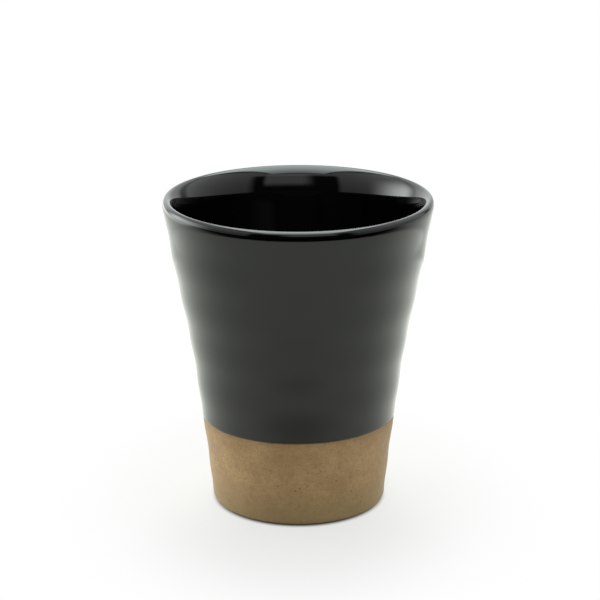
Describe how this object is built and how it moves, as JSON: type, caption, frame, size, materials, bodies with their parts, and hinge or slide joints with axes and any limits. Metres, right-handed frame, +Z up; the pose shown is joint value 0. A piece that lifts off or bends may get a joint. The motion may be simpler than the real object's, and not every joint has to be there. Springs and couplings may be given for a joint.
{
  "type": "tumbler",
  "caption": "Handleless stoneware tumbler that tapers to its foot, gloss black glaze inside and out above a band of bare clay, for hot or cold drinks.",
  "frame": {"origin": "centre of the foot, on the surface that the tumbler stands on", "axes": "+Z up along the axis that the tumbler was thrown on; X and Y are alike, because the form is round"},
  "size_m": [0.085, 0.085, 0.1],
  "materials": {
    "stoneware": "bare fired clay, dry and fine grained",
    "black_glaze": "high gloss"
  },
  "bodies": {
    "root": {"stoneware_body": "stoneware", "outer_glaze": "black_glaze", "liner_glaze": "black_glaze"}
  },
  "joints": []
}
